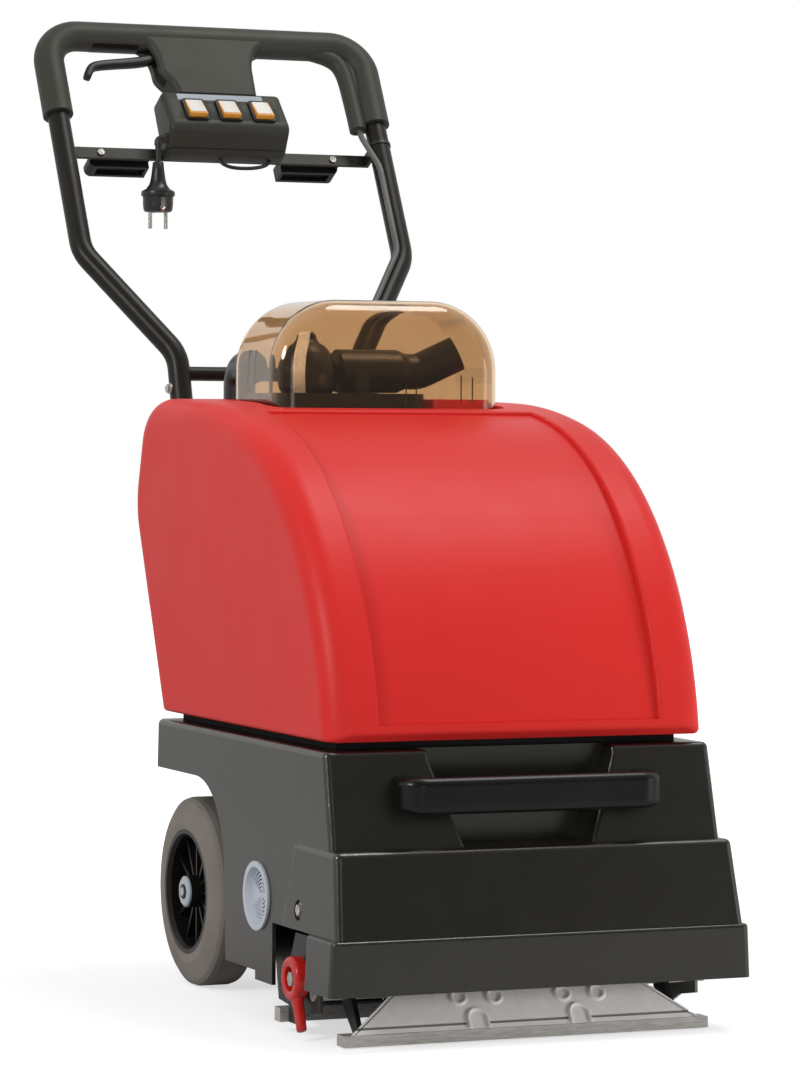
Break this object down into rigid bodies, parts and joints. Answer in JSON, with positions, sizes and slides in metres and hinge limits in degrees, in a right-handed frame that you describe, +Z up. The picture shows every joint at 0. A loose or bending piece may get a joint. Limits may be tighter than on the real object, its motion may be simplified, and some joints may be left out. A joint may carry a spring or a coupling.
{
  "type": "carpet extractor",
  "caption": "Walk-behind carpet extractor: stepped base on rear wheels, lift-off tank hood under a clear dome, roller brush, suction nozzle and leaning tube handle with switches.",
  "frame": {"origin": "on the floor under the middle of the machine's footprint", "axes": "+Z up, +Y towards the handle, +X to the right when facing the front of the machine"},
  "size_m": [0.4472, 0.9875, 1.0605],
  "materials": {
    "black_moulding": "fine grain",
    "carry_black": "satin",
    "vent_grey": "satin",
    "bolt_steel": "zinc plated",
    "sheet_steel": "plain",
    "bar_steel": "plain",
    "motor_metal": "cast",
    "belt_rubber": "matte",
    "pump_black": "moulded",
    "bristle_nylon": "bristle",
    "cast_aluminium": "sand cast",
    "cheek_black": "satin",
    "lever_red": "moulded",
    "tyre_rubber": "matte",
    "rim_black": "satin",
    "cap_light": "satin",
    "hood_red": "moulded gloss",
    "dome_smoke": "clear smoked",
    "tube_paint": "powder coat",
    "grip_grey": "fine grain",
    "hook_black": "satin",
    "box_grey": "fine grain",
    "key_amber": "clear amber",
    "cable_grey": "sheath",
    "cord_black": "sheath",
    "pin_nickel": "nickel"
  },
  "bodies": {
    "chassis": {"base_housing": "black_moulding", "vent_left": "vent_grey", "vent_right": "vent_grey", "side_bolts": "bolt_steel", "carry_handle": "carry_black", "floor_plate": "sheet_steel", "axle": "bar_steel", "brush_end_plates": "sheet_steel", "skid_bar": "bar_steel", "brush_motor": "motor_metal", "drive_belt": "belt_rubber", "vacuum_motor": "motor_metal", "solution_pump": "pump_black", "spray_bar": "pump_black", "deck_seals": "belt_rubber", "side_brackets": "sheet_steel", "nozzle_pivot_tube": "bar_steel", "lever_bolt": "bolt_steel", "handle_bracket": "sheet_steel", "handle_pivot_bolts": "bolt_steel"},
    "wheel_left": {"tyre_left": "tyre_rubber", "rim_left": "rim_black", "hub_cap_left": "cap_light"},
    "wheel_right": {"tyre_right": "tyre_rubber", "rim_right": "rim_black", "hub_cap_right": "cap_light"},
    "brush": {"brush_core": "pump_black", "brush_bristles": "bristle_nylon", "brush_pulley": "motor_metal"},
    "motor_drive": {"motor_pulley": "motor_metal"},
    "nozzle": {"nozzle_shoe": "cast_aluminium", "nozzle_lip": "cast_aluminium", "nozzle_cheeks": "cheek_black"},
    "lever": {"height_lever": "lever_red"},
    "tank": {"hood_tank": "hood_red", "hood_floor": "hood_red", "strainer_tray": "pump_black", "float_body": "pump_black", "inlet_pipe": "pump_black", "inlet_elbow": "pump_black", "hose_elbow": "pump_black"},
    "dome": {"dome_lid": "dome_smoke"},
    "handle": {"handle_tube": "tube_paint", "cross_rod": "tube_paint", "crossbar": "tube_paint", "crossbar_bolts": "bolt_steel", "hook_left": "hook_black", "hook_right": "hook_black", "grip_front": "grip_grey", "grip_rear": "grip_grey", "control_box": "box_grey", "box_cover": "box_grey", "control_cable": "cable_grey", "mains_cord": "cord_black", "plug_body": "cord_black", "plug_pins": "pin_nickel"},
    "trigger": {"pump_lever": "hook_black"},
    "key_left": {"rocker_left": "key_amber"},
    "key_middle": {"rocker_middle": "key_amber"},
    "key_right": {"rocker_right": "key_amber"}
  },
  "joints": [
    {"name": "wheel_left_turn", "type": "hinge", "parent": "chassis", "child": "wheel_left", "pos_m": [-0.16, 0.01425, 0.1], "axis": [1, 0, 0], "continuous": true},
    {"name": "wheel_right_turn", "type": "hinge", "parent": "chassis", "child": "wheel_right", "pos_m": [0.16, 0.01425, 0.1], "axis": [1, 0, 0], "continuous": true},
    {"name": "brush_turn", "type": "hinge", "parent": "chassis", "child": "brush", "pos_m": [0, -0.25875, 0.04], "axis": [1, 0, 0], "continuous": true},
    {"name": "motor_turn", "type": "hinge", "parent": "chassis", "child": "motor_drive", "pos_m": [0.184, -0.30375, 0.15], "axis": [1, 0, 0], "continuous": true},
    {"name": "nozzle_lift", "type": "hinge", "parent": "chassis", "child": "nozzle", "pos_m": [0, -0.40175, 0.046], "axis": [-1, 0, 0], "range_deg": [0, 10]},
    {"name": "lever_turn", "type": "hinge", "parent": "chassis", "child": "lever", "pos_m": [-0.212, -0.37575, 0.058], "axis": [-1, 0, 0], "range_deg": [0, 36]},
    {"name": "tank_lift", "type": "slide", "parent": "chassis", "child": "tank", "axis": [0, 0, 1], "range_m": [0, 0.1]},
    {"name": "dome_lift", "type": "slide", "parent": "tank", "child": "dome", "axis": [0, 0, 1], "range_m": [0, 0.12]},
    {"name": "handle_lean", "type": "hinge", "parent": "chassis", "child": "handle", "pos_m": [0, 0.13025, 0.232], "axis": [-1, 0, 0], "range_deg": [0, 35]},
    {"name": "trigger_pull", "type": "hinge", "parent": "handle", "child": "trigger", "pos_m": [-0.056, 0.4659, 1.02415], "axis": [0, 0.8766, -0.4813], "range_deg": [0, 9], "stiffness_Nm_per_rad": 0.6, "springref_deg": -5.73},
    {"name": "key_left_rock", "type": "hinge", "parent": "handle", "child": "key_left", "pos_m": [-0.036, 0.40535, 0.95712], "axis": [1, 0, 0], "range_deg": [-6, 6]},
    {"name": "key_middle_rock", "type": "hinge", "parent": "handle", "child": "key_middle", "pos_m": [0.005, 0.40535, 0.95712], "axis": [1, 0, 0], "range_deg": [-6, 6]},
    {"name": "key_right_rock", "type": "hinge", "parent": "handle", "child": "key_right", "pos_m": [0.046, 0.40535, 0.95712], "axis": [1, 0, 0], "range_deg": [-6, 6]}
  ],
  "couplings": [
    {"joint": "motor_turn", "follows": "brush_turn", "ratio": 1.7143},
    {"joint": "lever_turn", "follows": "nozzle_lift", "ratio": 3.6}
  ]
}
